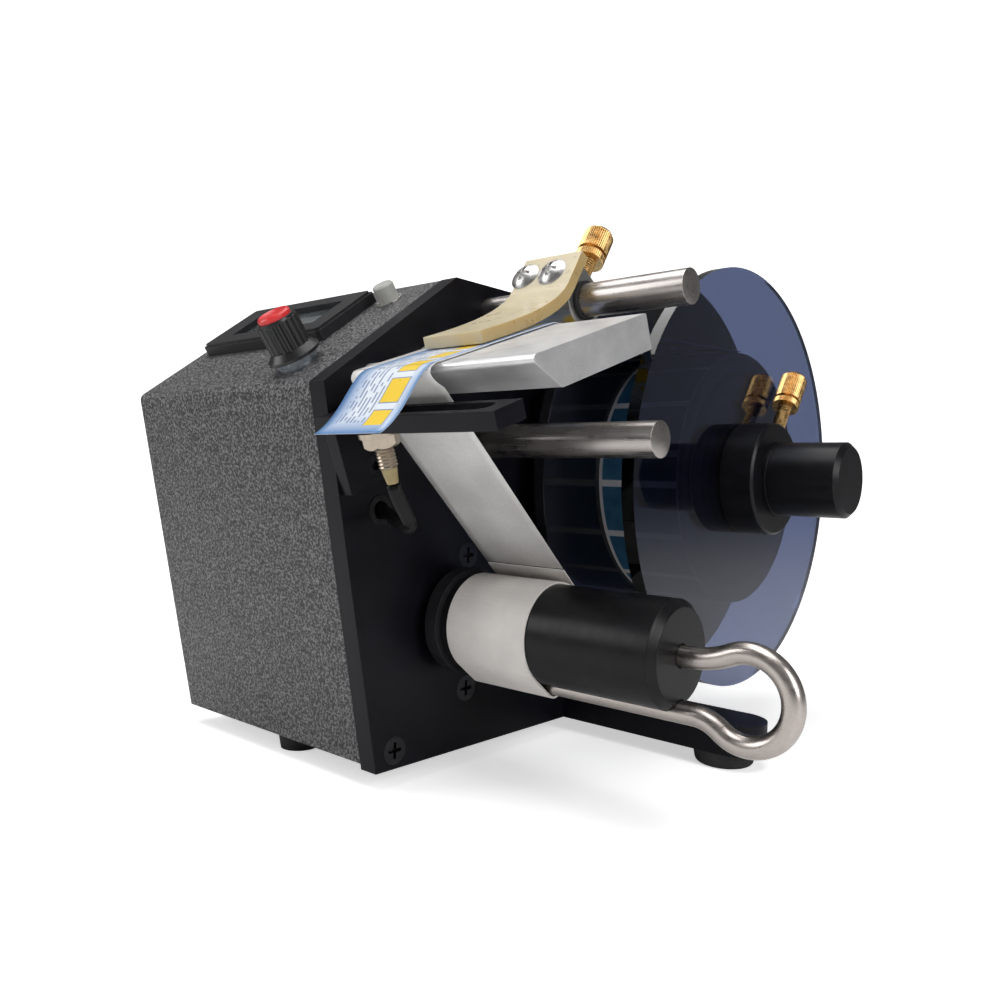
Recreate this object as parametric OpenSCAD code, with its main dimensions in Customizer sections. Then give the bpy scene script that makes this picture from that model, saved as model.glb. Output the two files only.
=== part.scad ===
// Bench-top electric label dispenser: a sheet-metal drive housing with a side plate that carries
// the label reel, the peel block with its hold-down blade, the label sensor and the take-up roller.
// Measured from the side plate's outer face and bottom front corner: X runs outward along the
// shafts, Y to the back, Z up. place() then moves everything so that the feet stand on Z = 0
// and the origin is the middle of the footprint.

/* [Side plate] */
// Thickness of the side plate
plate_t = 6.35; // [5:0.05:8]
// Height of the plate's flat top above its bottom edge
plate_h = 143.8; // [140:0.1:150]
// How far the front edge leans forward at the fold
front_lean = 21.1; // [15:0.1:24]
// Height of the fold between the front and the sloped top
fold_z = 108; // [100:0.1:112]
// Distance back of the ridge between the sloped and the flat top
ridge_y = 27.3; // [22:0.1:32]
// Distance back of the plate's rear edge
plate_back = 165; // [162:1:180]

/* [Housing] */
// Width of the sheet-metal housing
housing_w = 93.4; // [93:0.1:120]
// Sheet thickness
wall = 1.5; // [1:0.1:2]
// Outside radius of the folds
fold_r = 2.6; // [2:0.1:4]
// Gap between the plate's bottom edge and the housing's bottom edge
shell_lift = 1.7; // [1:0.1:3]
// Height of the feet below the plate
foot_h = 5; // [4:0.5:8]

/* [Reel] */
// Reel axis, distance back
reel_y = 132.2; // [128:0.1:136]
// Reel axis, height above the plate's bottom edge
reel_z = 86.35; // [80:0.05:92]
// Diameter of the reel shaft
shaft_d = 25.4; // [25:0.1:26]
// Free end of the reel shaft
shaft_end = 81.9; // [78:0.1:90]
// Radius of the inner disc
disc_r = 75.4; // [70:0.1:78]
// Radius of the outer flange
flange_r = 73.9; // [70:0.1:76]
// Thickness of the outer flange
flange_t = 4.2; // [3:0.1:5]
// Radius of the label roll
roll_r = 44.6; // [30:0.1:60]
// Width of the label web
web_w = 27.9; // [20:0.1:28]
// Distance from the plate to the web
web_x = 12.1; // [12:0.1:14]
// Radius of the hub collar
collar_r = 19.6; // [18:0.1:22]
// Width of the hub collar
collar_w = 11.8; // [10:0.1:13]
// Lean of the collar's thumbscrew to the back
collar_screw_a = 35; // [0:1:90]

/* [Take-up roller] */
// Roller axis, distance back
roller_y = 28.8; // [26:0.1:32]
// Roller axis, height above the plate's bottom edge
roller_z = 41.5; // [40:0.1:44]
// Radius of the bare roller
roller_r = 13.9; // [12:0.1:14.2]
// Free end of the roller
roller_end = 78.5; // [74:0.1:82]
// Radius over the wound liner
liner_r = 14.5; // [14.4:0.1:16]
// Wire diameter of the core clip
clip_d = 5.5; // [4:0.1:5.6]
// Middle radius of the clip's round handle
clip_loop_r = 10.9; // [10.5:0.1:11.5]
// Middle of the clip's handle along X
clip_loop_x = 96.1; // [94:0.1:100]
// Depth of the handle's middle below the roller axis
clip_loop_drop = 7.7; // [7:0.1:8]
// Depth of the clip's outer leg below the roller axis
clip_leg_drop = 13.8; // [13.5:0.1:14.2]

/* [Guide rods and peel block] */
// Diameter of both guide rods
rod_d = 9.52; // [9:0.01:10]
// Length of the upper rod
upper_rod_len = 70.1; // [68:0.1:80]
// Length of the lower rod
lower_rod_len = 70.5; // [68:0.1:80]
// Free end of the peel block
block_end = 68; // [60:0.1:72]
// Gap between the plate and the peel block
block_gap = 8.8; // [7:0.1:11]
// Length of the peel block's top face
block_l = 48.5; // [44:0.1:50]
// Thickness of the peel block
block_t = 9.1; // [8:0.1:10]
// How far the front face is cut back under the nose
block_undercut = 10; // [8:0.1:12]
// Slope of the peel block
block_tilt = 19.8; // [15:0.1:22]

/* [Hold-down clamp] */
// Backward lean of the clamp block
clamp_tilt = 31; // [25:1:35]
// Thickness of the hold-down blade
blade_t = 3.2; // [2:0.1:3.4]
// Width of the hold-down blade
blade_w = 20.2; // [16:0.1:22]

/* [Label sensor] */
// Free end of the slotted arm
arm_end = 61.5; // [58:0.1:64]
// Width of the slotted arm
arm_w = 10; // [9.6:0.1:10.2]
// Thickness of the slotted arm
arm_t = 4.5; // [3:0.1:5]
// Slope of the slotted arm
arm_tilt = 20.5; // [18:0.1:22]
// Distance of the sensor from the plate
sensor_x = 18; // [15:0.1:30]
// Diameter of the sensor's threaded barrel
barrel_d = 5; // [4:0.1:5]

/* [Controls] */
// Knob, distance inward from the plate
knob_x = 24; // [20:0.1:30]
// Knob, distance up the slope from the fold
knob_s = 12.1; // [11:0.1:13]
// Push button, distance inward from the plate
button_x = 20.5; // [19:0.1:22]
// Push button, distance up the slope from the fold
button_s = 50; // [48:0.1:52]
// Width of the counter's bezel
bezel_w = 63.4; // [60:0.1:64]
// Depth of the counter's bezel along the slope
bezel_d = 26.5; // [25:0.1:28]
// Travel of the push button
button_travel = 2; // [1:0.1:3]

/* [Base bar] */
// Distance back of the bar's front edge
bar_y = 87.5; // [80:0.1:95]
// Width of the bar
bar_w = 19.5; // [16:0.1:22]
// Reach of the bar from the plate
bar_len = 70.4; // [60:0.1:80]
// Height of the bar
bar_h = 9.5; // [8:0.1:12]

/* [Hidden] */
$fn = 64;

left_x = -plate_t - housing_w;
// Distance back of the hanging label's lower edge, along the strip's middle and on its face
label_end_y = -36.2;
label_front = label_end_y - 0.13;
// Middle of the footprint, measured from the plate's bottom front corner
centre_x = (left_x + clip_loop_x + clip_loop_r + clip_d / 2) / 2;
centre_y = (label_front + reel_y + disc_r) / 2;

slope_angle = atan2(plate_h - fold_z, ridge_y + front_lean);
shaft_r = shaft_d / 2;
rod_r = rod_d / 2;
web_end = web_x + web_w;
flange_x = web_end + 0.3;
collar_x = flange_x + flange_t;
paper_t = 0.3;
paper_gap = 0.35;
upper_rod_y = 42.9;
upper_rod_z = 135.4;
lower_rod_y = 29.2;
lower_rod_z = 94.65;
nose_y = -front_lean;
nose_z = fold_z + 1.2;
arm_y = -23.9;
arm_z = 97.9;
cable_y = -0.8;
cable_z = 74.2;
clip_leg_z = roller_z - clip_leg_drop;
bezel_x = -91;
bezel_s = 25.5;
// Countersunk screws in the plate's outer face: [distance back, height]
housing_screw_at = [[7, 5.3], [158, 6.3], [158, 136.5], [60, 136.8]];
motor_screw_at = [[35.7, 60], [36.2, 18.6]];
bar_screw_at = [[bar_y + 4.75, 4.75], [bar_y + 14.75, 4.75]];
rod_at = [[upper_rod_y, upper_rod_z], [lower_rod_y, lower_rod_z]];
// Screws in the block's end: [distance from the nose, depth below the top face]
block_screw_at = [[16, -4.8], [38, -4.8]];
// Screw through the sensor bracket: [distance back, height] on the sloping arm
bracket_screw_at = [12.6, -17];
hub_screw_r = 18.5;
hub_screw_a = [30, 150, 270];
foot_at = [[-50, 11], [-86, 150], [-20, 150]];
bar_foot_at = [57, bar_y + bar_w / 2];
bar_foot_r = 9.9;

// ---- helpers -------------------------------------------------------------------------------

function unit(v) = v / norm(v);
function at_angle(a) = [cos(a), sin(a)];
function wrap(a) = a > 180 ? a - 360 : a < -180 ? a + 360 : a;
// Arc that rounds corner b between its neighbours a and c
function fillet(a, b, c, r, steps = 6) =
    let (u = unit(a - b), v = unit(c - b), half = acos(u * v) / 2,
         mid = b + unit(u + v) * r / sin(half),
         from = b + u * r / tan(half) - mid, to = b + v * r / tan(half) - mid,
         start = atan2(from.y, from.x), turn = wrap(atan2(to.y, to.x) - start))
    [for (i = [0:steps]) mid + r * at_angle(start + turn * i / steps)];
function rounded(points, radii, steps = 6) =
    let (n = len(points))
    [for (i = [0:n - 1]) each radii[i] == 0 ? [points[i]]
        : fillet(points[(i + n - 1) % n], points[i], points[(i + 1) % n], radii[i], steps)];
// Outline moved inward by d; the points run clockwise
function inset(points, d) =
    let (n = len(points))
    [for (i = [0:n - 1])
        let (u = unit(points[i] - points[(i + n - 1) % n]),
             v = unit(points[(i + 1) % n] - points[i]),
             p = [u.y, -u.x], q = [v.y, -v.x])
        points[i] + d * (p + q) / (1 + p * q)];
function left_of(points, i) =
    let (d = unit(points[min(i + 1, len(points) - 1)] - points[max(i - 1, 0)])) [-d.y, d.x];
// Closed outline of a strip of thickness t along an open line
function ribbon(points, t) =
    let (last = len(points) - 1)
    concat([for (i = [0:last]) points[i] + left_of(points, i) * t / 2],
           [for (i = [0:last]) points[last - i] - left_of(points, last - i) * t / 2]);
function bezier(a, b, c, d, t) =
    a * pow(1 - t, 3) + 3 * b * t * pow(1 - t, 2) + 3 * c * t * t * (1 - t) + d * pow(t, 3);
function turned(p, a) = [p.x * cos(a) - p.y * sin(a), p.x * sin(a) + p.y * cos(a)];

module place() translate([-centre_x, -centre_y, foot_h]) children();
module along_x(x, y, z) translate([x, y, z]) rotate([0, 90, 0]) children();
// Extrudes an outline drawn in [distance back, height] from x0 to x1
module extrude_x(x0, x1)
    translate([x0, 0, 0]) rotate([90, 0, 90]) linear_extrude(x1 - x0) children();
// Local Y runs up the sloped top from the fold, local Z stands out of it
module on_slope() translate([0, -front_lean, fold_z]) rotate([slope_angle, 0, 0]) children();
// Local Y runs back along the peel block's top face from its nose
module on_block() translate([0, nose_y, nose_z]) rotate([block_tilt, 0, 0]) children();
module on_arm() translate([0, arm_y, arm_z]) rotate([arm_tilt, 0, 0]) children();
module on_clamp()
    translate([0, upper_rod_y, upper_rod_z]) rotate([-clamp_tilt, 0, 0]) children();
module reel_axis(x) along_x(x, reel_y, reel_z) children();
module roller_axis(x) along_x(x, roller_y, roller_z) children();

module ring(outer, inner, h) difference() {
    cylinder(r = outer, h = h);
    translate([0, 0, -1]) cylinder(r = inner, h = h + 2);
}
module cross_recess(size, depth) for (a = [0, 90])
    rotate(a) translate([-size / 2, -size / 9, -depth]) cube([size, size / 4.5, depth + 1]);
// Countersunk screw: head flush with Z = 0, shank below
module flat_screw(d, head_d, length) difference() {
    union() {
        translate([0, 0, -(head_d - d) / 2]) cylinder(d1 = d, d2 = head_d, h = (head_d - d) / 2);
        translate([0, 0, -length]) cylinder(d = d, h = length - 0.5);
    }
    cross_recess(head_d * 0.6, head_d * 0.2);
}
module flat_screw_hole(d, head_d, length) {
    translate([0, 0, -(head_d - d) / 2]) cylinder(d1 = d, d2 = head_d, h = (head_d - d) / 2);
    translate([0, 0, -length]) cylinder(d = d, h = length);
}
// Socket head screw: head above Z = 0, shank below
module cap_screw(d, length) difference() {
    union() {
        cylinder(d = d * 1.75, h = d);
        translate([0, 0, -length]) cylinder(d = d, h = length + 1);
    }
    translate([0, 0, d / 2]) cylinder(d = d * 0.9, h = d, $fn = 6);
}
// Low domed screw with a cross recess, head above Z = 0
module truss_screw(d, head_d, length) {
    dome_r = head_d * 0.72;
    difference() {
        union() {
            intersection() {
                translate([0, 0, 1.9 - dome_r]) sphere(dome_r);
                cylinder(d = head_d, h = 3);
            }
            translate([0, 0, -length]) cylinder(d = d, h = length + 0.5);
        }
        translate([0, 0, 1.9]) cross_recess(head_d * 0.55, 1);
    }
}
// Knurled disc
module knurled(r, h) {
    flutes = 44;
    linear_extrude(h) polygon([for (i = [0:2 * flutes - 1])
        (r - (i % 2) * 0.3) * at_angle(i * 180 / flutes)]);
}
// Thumbscrew: shank from Z = 0 up, then a knurled ring, a groove and the knurled head
module thumbscrew(shank_d, neck, head_d, head_l) {
    head_r = head_d / 2;
    ring_h = 2.2;
    groove_h = 1.1;
    cylinder(d = shank_d, h = neck + 1);
    translate([0, 0, neck]) knurled(head_r, ring_h);
    translate([0, 0, neck + ring_h - 0.1]) cylinder(r = head_r * 0.74, h = groove_h + 0.2);
    translate([0, 0, neck + ring_h + groove_h]) knurled(head_r, head_l - ring_h - groove_h - 0.8);
    translate([0, 0, neck + head_l - 0.9])
        cylinder(r1 = head_r - 0.3, r2 = head_r * 0.86, h = 0.9);
}
// Round bar with a shallow domed end
module domed_bar(r, length, dome_h) {
    dome_r = (r * r + dome_h * dome_h) / (2 * dome_h);
    cylinder(r = r, h = length);
    translate([0, 0, length]) intersection() {
        translate([0, 0, dome_h - dome_r]) sphere(dome_r);
        translate([0, 0, -0.1]) cylinder(r = r, h = dome_h + 0.2);
    }
}
module elbow(radius, from, sweep, wire_r) rotate([90, 0, 0]) rotate(from)
    rotate_extrude(angle = sweep) translate([radius, 0]) circle(wire_r);

// Tube of eight sides swept along hand-placed points, smoothed through their middles
function smooth(points, steps) =
    let (n = len(points))
    concat([points[0]],
        [for (i = [1:n - 2]) let (a = (points[i - 1] + points[i]) / 2, b = points[i],
                                  c = (points[i] + points[i + 1]) / 2)
            for (k = [0:steps]) let (t = k / steps)
                a * pow(1 - t, 2) + 2 * b * t * (1 - t) + c * t * t],
        [points[n - 1]]);
function across(d) = unit(cross(d, abs(d.z) > 0.9 * norm(d) ? [0, 1, 0] : [0, 0, 1]));
module swept_tube(route, r, sides = 8) {
    n = len(route);
    rings = [for (i = [0:n - 1])
        let (d = route[min(i + 1, n - 1)] - route[max(i - 1, 0)], u = across(d), v = unit(cross(d, u)))
        for (k = [0:sides - 1]) route[i] + r * (u * cos(k * 360 / sides) + v * sin(k * 360 / sides))];
    faces = concat([[for (k = [0:sides - 1]) k]],
        [for (i = [0:n - 2]) for (k = [0:sides - 1])
            [i * sides + k, (i + 1) * sides + k, (i + 1) * sides + (k + 1) % sides,
             i * sides + (k + 1) % sides]],
        [[for (k = [0:sides - 1]) n * sides - 1 - k]]);
    polyhedron(rings, faces, convexity = 6);
}

// ---- frame ---------------------------------------------------------------------------------

plate_outline = [[0, 0], [-front_lean, fold_z], [ridge_y, plate_h], [plate_back, plate_h],
    [plate_back, 0]];
boss_r = 14;
// Depth of the housing's screw bosses behind the plate
boss_depth = 8;

module side_plate() color([0.10, 0.10, 0.12]) place() difference() {
    extrude_x(-plate_t, 0) polygon(plate_outline);
    for (p = concat(housing_screw_at, motor_screw_at))
        along_x(0, p.x, p.y) flat_screw_hole(4, 8, plate_t + 1);
    for (p = concat(bar_screw_at, rod_at))
        along_x(-plate_t - 1, p.x, p.y) cylinder(r = 2, h = plate_t + 2);
    on_block() for (p = block_screw_at) along_x(-plate_t - 1, p.x, p.y) cylinder(r = 2, h = plate_t + 2);
    on_arm() along_x(-plate_t - 1, bracket_screw_at.x, bracket_screw_at.y)
        cylinder(r = 2, h = plate_t + 2);
    reel_axis(-plate_t - 1) cylinder(r = boss_r, h = plate_t + 2);
    roller_axis(-plate_t - 1) cylinder(r = 6, h = plate_t + 2);
    along_x(-plate_t - 1, cable_y, cable_z) cylinder(r = 3.4, h = plate_t + 2);
}

// Housing outline, carried on below the bottom edge so that the open bottom can be cut square
shell_outline = [[4 * front_lean / fold_z, -4], [-front_lean, fold_z], [ridge_y, plate_h],
    [plate_back, plate_h], [plate_back, -4]];
// Rounded box of the housing's outline; skin is the distance inside the outer surface
module rounded_body(skin, right_x) {
    corners = inset(shell_outline, fold_r);
    hull() for (p = corners) {
        translate([left_x + fold_r, p.x, p.y]) sphere(fold_r - skin, $fn = 24);
        along_x(right_x - 1, p.x, p.y) cylinder(r = fold_r - skin, h = 1, $fn = 24);
    }
}
inlet_at = [-82, 14];
switch_at = [-42, 16];
module housing_shell() color([0.36, 0.35, 0.36]) place() difference() {
    union() {
        difference() {
            rounded_body(0, -plate_t);
            rounded_body(wall, -plate_t + 1);
        }
        intersection() {
            extrude_x(-plate_t - boss_depth, -plate_t) polygon(inset(shell_outline, wall / 2));
            for (p = housing_screw_at)
                translate([-plate_t - boss_depth - 1, p.x - 8, p.y - 7]) cube([boss_depth + 2, 16, 14]);
        }
    }
    translate([left_x - 1, -50, -20]) cube([housing_w + 2, plate_back + 60, 20 + shell_lift]);
    for (p = housing_screw_at) along_x(-plate_t - boss_depth - 1, p.x, p.y)
        cylinder(r = 2, h = boss_depth + 2);
    on_slope() {
        translate([bezel_x + 1.7, bezel_s + 1.7, -4]) cube([bezel_w - 3.4, bezel_d - 3.4, 8]);
        translate([-knob_x, knob_s, -4]) cylinder(r = 3.5, h = 8);
        translate([-button_x, button_s, -4]) cylinder(r = 3.9, h = 8);
    }
    translate([inlet_at.x, plate_back - 4, inlet_at.y]) cube([28, 8, 20]);
    translate([switch_at.x, plate_back - 4, switch_at.y]) cube([13, 8, 19]);
}

module base_pan() color([0.30, 0.30, 0.31]) place() {
    x0 = left_x + wall + 0.2;
    pan_end = -plate_t - boss_depth - 0.4;
    difference() {
        union() {
            translate([x0, 2.5, shell_lift]) cube([pan_end - x0, plate_back - 4.2, wall]);
            translate([x0, 2.5, shell_lift]) cube([wall, plate_back - 4.2, 9]);
        }
        for (p = foot_at) translate([p.x, p.y, 0]) cylinder(r = 1.6, h = 6);
    }
}

module foot(p, top_z, r_low, r_high) translate([p.x, p.y, -foot_h]) difference() {
    cylinder(r1 = r_low, r2 = r_high, h = foot_h + top_z);
    translate([0, 0, -1]) cylinder(r = 3.2, h = 3.5);
    cylinder(r = 1.6, h = foot_h + top_z + 1);
}
module housing_feet() color([0.05, 0.05, 0.05]) place() for (p = foot_at) foot(p, shell_lift, 6, 7.2);
module bar_foot() color([0.05, 0.05, 0.05]) place() translate([bar_foot_at.x, bar_foot_at.y, -foot_h])
    rotate_extrude() polygon(concat(fillet([3.2, 0], [9, 0], [bar_foot_r, foot_h], 1.8),
        [[bar_foot_r, foot_h], [1.6, foot_h], [1.6, 2.5], [3.2, 2.5], [3.2, 0]]));
module foot_screws() color([0.6, 0.6, 0.6]) place() {
    for (p = concat(foot_at, [bar_foot_at])) translate([p.x, p.y, -foot_h + 0.9]) {
        cylinder(r = 2.8, h = 1.6);
        cylinder(r = 1.6, h = 10);
    }
}
module base_bar() color([0.09, 0.09, 0.10]) place() difference() {
    union() {
        translate([0, bar_y, 0]) cube([bar_len - bar_w / 2, bar_w, bar_h]);
        translate([bar_len - bar_w / 2, bar_y + bar_w / 2, 0]) cylinder(d = bar_w, h = bar_h);
    }
    for (p = bar_screw_at) along_x(-1, p.x, p.y) cylinder(r = 2, h = 14);
    translate([bar_foot_at.x, bar_foot_at.y, -1]) cylinder(r = 1.6, h = 8);
}
// Screws driven from inside the housing, through the plate
module inside_screw(p, length)
    translate([-plate_t, p.x, p.y]) rotate([0, -90, 0]) cap_screw(4, length);
module inside_screws() color([0.25, 0.25, 0.27]) place() {
    for (p = concat(bar_screw_at, rod_at)) inside_screw(p, 18);
    on_block() for (p = block_screw_at) inside_screw(p, 18);
    for (a = hub_screw_a) reel_axis(-plate_t - 6) rotate(a) translate([hub_screw_r, 0, 0])
        rotate([180, 0, 0]) cap_screw(4, 6);
}
module housing_screws() color([0.07, 0.07, 0.08]) place()
    for (p = housing_screw_at) along_x(0, p.x, p.y) flat_screw(4, 8, 13);
module motor_screws() color([0.07, 0.07, 0.08]) place()
    for (p = motor_screw_at) along_x(0, p.x, p.y) flat_screw(4, 8, 12);

// ---- guide rods, peel block and hold-down clamp ----------------------------------------------

module rod(p, length) difference() {
    along_x(0, p.x, p.y) domed_bar(rod_r, length, 0.7);
    along_x(-1, p.x, p.y) cylinder(r = 2, h = 13);
}
module upper_rod() color([0.66, 0.65, 0.64]) place() rod(rod_at[0], upper_rod_len);
module lower_rod() color([0.66, 0.65, 0.64]) place() rod(rod_at[1], lower_rod_len);
module rod_ring() color([0.05, 0.05, 0.05]) place()
    along_x(clamp_x[1] + 0.3, upper_rod_y, upper_rod_z) ring(rod_r + 0.8, rod_r, 0.8);

block_outline = rounded(
    [[0, 0], [block_l, 0], [block_l + 0.3, -block_t], [block_undercut, -block_t]],
    [1.2, 0.6, 0.6, 1.2]);
module peel_block() color([0.75, 0.76, 0.77]) place() on_block() difference() {
    union() {
        extrude_x(block_gap, block_end) polygon(block_outline);
        for (p = block_screw_at) along_x(0, p.x, p.y) cylinder(r = 4.2, h = block_gap + 1);
    }
    for (p = block_screw_at) along_x(-1, p.x, p.y) cylinder(r = 2, h = 13);
}

clamp_x = [15, 36];
clamp_r = 7.6;
clamp_screw_x = 31.2;
blade_x = [18, 18 + blade_w];
blade_top = 8.6;
// Screws that hold the blade: [distance from the plate, height on the clamp]
blade_screw_at = [[20.5, 2.1], [30.2, 2.1]];
module clamp_block() color([0.72, 0.72, 0.73]) place() on_clamp() difference() {
    extrude_x(clamp_x[0], clamp_x[1]) polygon(rounded(
        [[-clamp_r, clamp_r], [clamp_r, clamp_r], [clamp_r, -clamp_r], [-clamp_r, -clamp_r]],
        [0.8, clamp_r - 0.1, clamp_r - 0.1, clamp_r - 0.1], 12));
    along_x(0, 0, 0) cylinder(r = rod_r + 0.05, h = 60);
    translate([clamp_screw_x, 0, 0]) cylinder(r = 2.4, h = 12);
    for (p = blade_screw_at) translate([p.x, -clamp_r - 1, p.y])
        rotate([-90, 0, 0]) cylinder(r = 2, h = 3.6);
}
module clamp_thumbscrew() color([0.80, 0.62, 0.30]) place() on_clamp()
    translate([clamp_screw_x, 0, rod_r + 0.15]) thumbscrew(4.7, 10.7, 9.2, 10.8);

// Middle line of the blade: flat on the clamp's front face, then one bend down to the web
blade_face = -clamp_r - blade_t / 2;
blade_tip_u = 20.4;
blade_start = [upper_rod_y, upper_rod_z] + turned([blade_face, blade_top], -clamp_tilt);
blade_bend = [upper_rod_y, upper_rod_z] + turned([blade_face, -3], -clamp_tilt);
blade_tip = [nose_y, nose_z] + turned([blade_tip_u, blade_t / 2 + 2 * paper_gap + 0.2], block_tilt);
blade_line = concat([blade_start], [for (i = [0:12]) bezier(blade_bend,
    blade_bend + 10 * turned([0, -1], -clamp_tilt), blade_tip + 10 * at_angle(block_tilt),
    blade_tip, i / 12)]);
module hold_down_blade() color([0.86, 0.76, 0.52]) place() difference() {
    extrude_x(blade_x[0], blade_x[1]) polygon(ribbon(blade_line, blade_t));
    on_clamp() for (p = blade_screw_at) translate([p.x, -clamp_r - blade_t - 1, p.y])
        rotate([-90, 0, 0]) cylinder(r = 2, h = blade_t + 2);
}
module blade_screws() color([0.75, 0.74, 0.72]) place() on_clamp()
    for (p = blade_screw_at) translate([p.x, -clamp_r - blade_t, p.y])
        rotate([90, 0, 0]) truss_screw(4, 9.2, blade_t + 2.4);

// ---- label sensor ----------------------------------------------------------------------------

slot_mid = arm_w / 2;
slot_w = barrel_d + 0.8;
flange_low = 21.8;
flange_back = 16.5;
module sensor_bracket() color([0.09, 0.09, 0.10]) place() on_arm() difference() {
    union() {
        translate([0, 0, -arm_t]) cube([arm_end, arm_w, arm_t]);
        translate([0, 2.2, -flange_low]) cube([4, flange_back - 2.2, flange_low]);
    }
    translate([9, slot_mid - slot_w / 2, -arm_t - 1]) cube([48 - slot_w / 2, slot_w, arm_t + 2]);
    translate([57 - slot_w / 2, slot_mid, -arm_t - 1]) cylinder(d = slot_w, h = arm_t + 2);
    along_x(-1, bracket_screw_at.x, bracket_screw_at.y) cylinder(r = 2, h = 6);
    along_x(1.6, bracket_screw_at.x, bracket_screw_at.y) cylinder(r = 3, h = 4);
}
module bracket_screw() color([0.14, 0.14, 0.15]) place() on_arm()
    difference() {
        union() {
            along_x(1.6, bracket_screw_at.x, bracket_screw_at.y) cylinder(r = 2.95, h = 2.35);
            along_x(-plate_t, bracket_screw_at.x, bracket_screw_at.y) cylinder(r = 2, h = 9);
        }
        along_x(2.4, bracket_screw_at.x, bracket_screw_at.y) cylinder(r = 1.3, h = 3, $fn = 6);
    }

barrel_low = -14.8;
thread_pitch = 0.9;
barrel_outline = concat([[0, barrel_low]],
    [for (i = [0:18]) each [[barrel_d / 2 - 0.32, barrel_low + thread_pitch * i],
                            [barrel_d / 2, barrel_low + thread_pitch * (i + 0.5)]]],
    [[barrel_d / 2 - 0.32, 3], [0, 3]]);
module at_sensor() place() on_arm() translate([sensor_x, slot_mid, 0]) children();
module sensor_barrel() color([0.62, 0.60, 0.56]) at_sensor() rotate_extrude() polygon(barrel_outline);
module hex(across_flats, h) cylinder(d = across_flats / cos(30), h = h, $fn = 6);
nut_gap = 0.1;
module sensor_nuts() color([0.70, 0.68, 0.62]) at_sensor() difference() {
    union() {
        translate([0, 0, nut_gap]) hex(7.8, 2);
        translate([0, 0, -arm_t - nut_gap - 1.4]) cylinder(r = 5.5, h = 1.4);
        translate([0, 0, -arm_t - nut_gap - 4.6]) intersection() {
            hex(8.4, 3.3);
            cylinder(r1 = 4.1, r2 = 7.4, h = 3.3);
        }
    }
    translate([0, 0, -10]) cylinder(d = barrel_d + 0.02, h = 20);
}
module sensor_potting() color([0.72, 0.62, 0.38]) at_sensor()
    translate([0, 0, barrel_low - 4.2]) cylinder(r1 = 1.5, r2 = 2.15, h = 4.2);

// Lead of the sensor, from under its potting through the plate to the board: [x, back, height]
cable_r = 1.6;
cable_route = [[18, -12.4, 81.5], [18.2, -11.2, 78.4], [18.9, -9, 74.4], [19, -6.8, 71],
    [15.4, -4.6, 70], [9.8, -2.8, 71.2], [4.8, -1.4, 73], [1, -0.8, 74.1], [-6, -0.8, 74.2],
    [-13, 0, 74], [-22, 6, 70], [-34, 12, 62], [-44, 14, 48], [-50, 16, 30], [-52, 30, 18],
    [-52, 52, 16], [-52, 66, 16.4]];
module sensor_cable() color([0.06, 0.06, 0.07]) place() swept_tube(smooth(cable_route, 3), cable_r);
module cable_grommet() color([0.05, 0.05, 0.05]) place() difference() {
    union() {
        along_x(-plate_t - 1, cable_y, cable_z) cylinder(r = 3.4, h = plate_t + 1.2);
        along_x(0, cable_y, cable_z) cylinder(r = 4.2, h = 0.6);
        along_x(-plate_t - 1, cable_y, cable_z) cylinder(r = 4.6, h = 1);
    }
    along_x(-plate_t - 2, cable_y, cable_z) cylinder(r = 2.6, h = plate_t + 4);
}

// ---- controls on the sloped top --------------------------------------------------------------

bezel_h = 4;
window = [[-80, 31.5], [-36, 46]];
module window_box(z, h, grow) translate([window[0].x - grow, window[0].y - grow, z])
    cube([window[1].x - window[0].x + 2 * grow, window[1].y - window[0].y + 2 * grow, h]);
module rounded_plate(x, y, w, d, r, h) translate([x, y, 0]) linear_extrude(h)
    polygon(rounded([[0, 0], [w, 0], [w, d], [0, d]], [r, r, r, r]));
module counter_bezel() color([0.06, 0.06, 0.07]) place() on_slope() difference() {
    union() {
        rounded_plate(bezel_x, bezel_s, bezel_w, bezel_d, 1.5, bezel_h - 0.8);
        rounded_plate(bezel_x + 0.8, bezel_s + 0.8, bezel_w - 1.6, bezel_d - 1.6, 1.2, bezel_h);
    }
    window_box(-1, 6, 0);
    window_box(-1, 3.2, 1);
}
module counter_lens() color([0.25, 0.28, 0.30, 0.5]) place() on_slope() window_box(1.4, 0.8, 0.9);
module counter_display() color([0.42, 0.44, 0.42]) place() on_slope() window_box(0.2, 1.1, -0.5);
module counter_body() color([0.08, 0.08, 0.09]) place() on_slope() {
    translate([bezel_x + 1.8, bezel_s + 1.8, -36]) cube([bezel_w - 3.6, bezel_d - 3.6, 36]);
    for (k = [0:5]) translate([bezel_x + 12 + 8 * k, bezel_s + 6, -39]) cube([4, 12, 3]);
}
module pot_body() color([0.55, 0.55, 0.52]) place() on_slope() translate([-knob_x, knob_s, 0]) {
    difference() {
        union() {
            translate([0, 0, -14]) cylinder(r = 8, h = 12.4);
            translate([0, 0, -3]) cylinder(r = 3.5, h = 5.4);
        }
        translate([0, 0, -10]) cylinder(r = 3.05, h = 20);
    }
    for (k = [-1:1]) translate([k * 4 - 0.8, 6, -12]) cube([1.6, 6.5, 0.8]);
}
module pot_nut() color([0.80, 0.80, 0.80]) place() on_slope() translate([-knob_x, knob_s, 0]) difference() {
    union() {
        cylinder(r = 5.8, h = 0.6);
        translate([0, 0, 0.6]) hex(10.6, 1.8);
    }
    translate([0, 0, -1]) cylinder(r = 3.5, h = 6);
}
module pot_shaft() color([0.7, 0.7, 0.7]) place() on_slope() translate([-knob_x, knob_s, -9])
    cylinder(r = 3, h = 20);
knob_z = 2.7;
knob_h = 11.6;
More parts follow.
